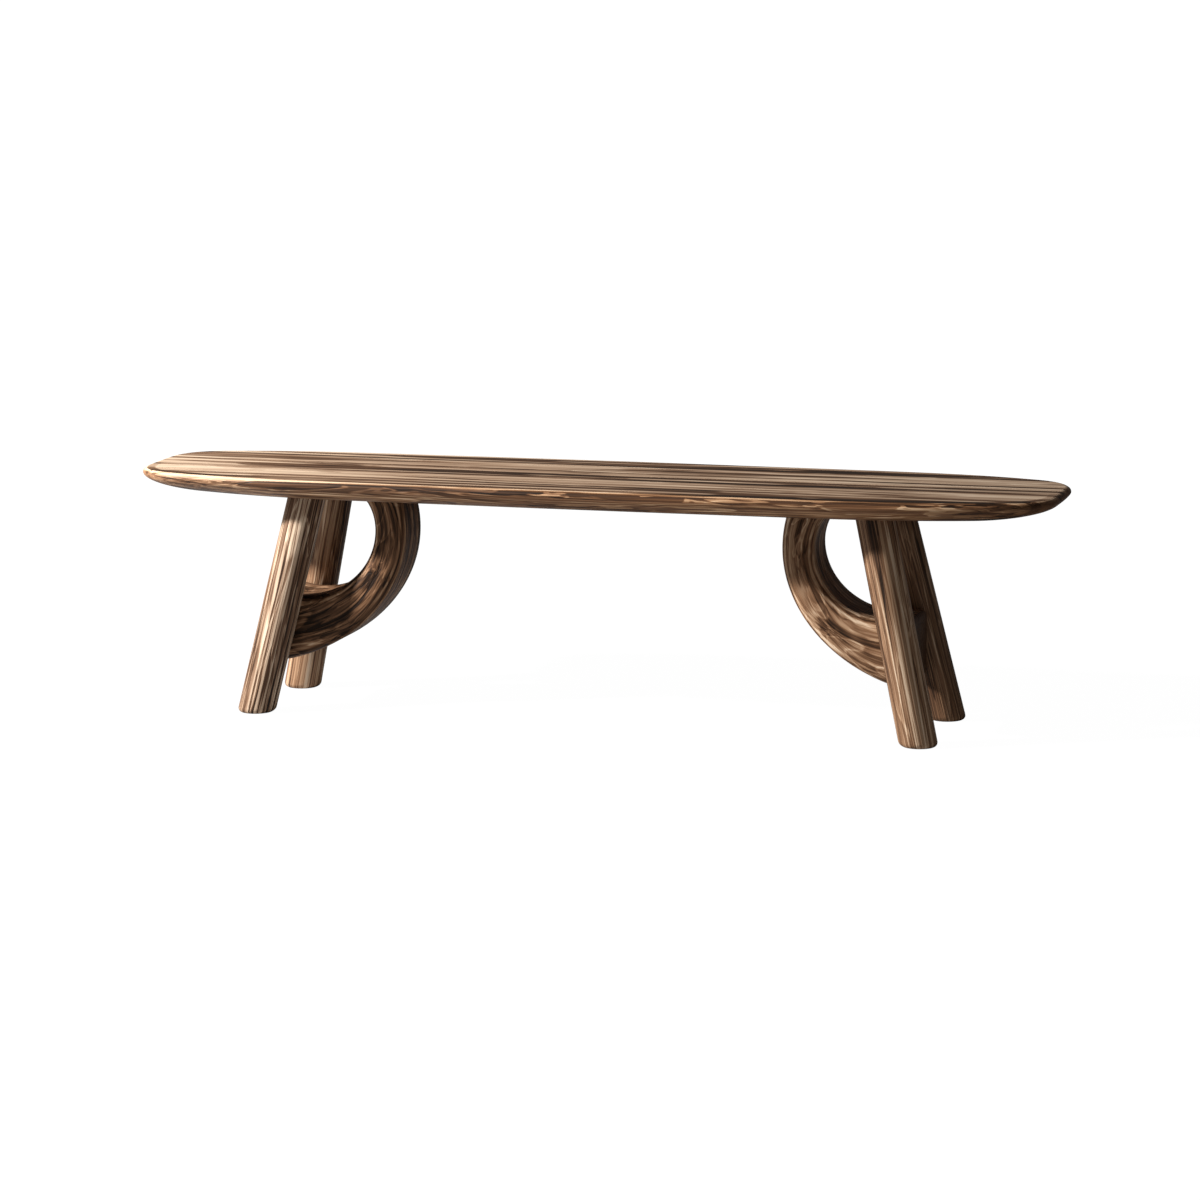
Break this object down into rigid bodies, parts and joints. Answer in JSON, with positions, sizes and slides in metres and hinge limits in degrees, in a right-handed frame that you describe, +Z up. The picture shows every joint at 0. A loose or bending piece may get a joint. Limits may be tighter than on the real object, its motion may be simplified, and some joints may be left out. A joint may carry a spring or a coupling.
{
  "type": "bench",
  "caption": "Long backless wooden bench with a pebble-edged seat, splayed round legs and a curved horn-shaped brace at each end.",
  "frame": {"origin": "on the floor under the centre of the seat", "axes": "+X along the bench to its right end, +Y to the back, +Z up"},
  "size_m": [1.74, 0.4, 0.45],
  "materials": {
    "seat_wood": "dark brushed wood, long dark grain lines, satin",
    "leg_wood": "dark brushed wood, streaks along the leg, satin",
    "brace_wood": "dark brushed wood, grain that follows the curve, satin",
    "joinery_wood": "plain hardwood, bare"
  },
  "bodies": {
    "root": {"seat_board_front": "seat_wood", "seat_board_front_inner": "seat_wood", "seat_board_middle": "seat_wood", "seat_board_back_inner": "seat_wood", "seat_board_back": "seat_wood", "seam_spline_front": "joinery_wood", "seam_spline_front_inner": "joinery_wood", "seam_spline_back_inner": "joinery_wood", "seam_spline_back": "joinery_wood", "leg_front_left": "leg_wood", "leg_back_left": "leg_wood", "leg_front_right": "leg_wood", "leg_back_right": "leg_wood", "leg_tenon_front_left": "joinery_wood", "leg_tenon_back_left": "joinery_wood", "leg_tenon_front_right": "joinery_wood", "leg_tenon_back_right": "joinery_wood", "brace_left": "brace_wood", "brace_right": "brace_wood", "brace_top_dowels_left": "joinery_wood", "brace_top_dowels_right": "joinery_wood", "brace_leg_dowels_front_left": "joinery_wood", "brace_leg_dowels_back_left": "joinery_wood", "brace_leg_dowels_front_right": "joinery_wood", "brace_leg_dowels_back_right": "joinery_wood"}
  },
  "joints": []
}
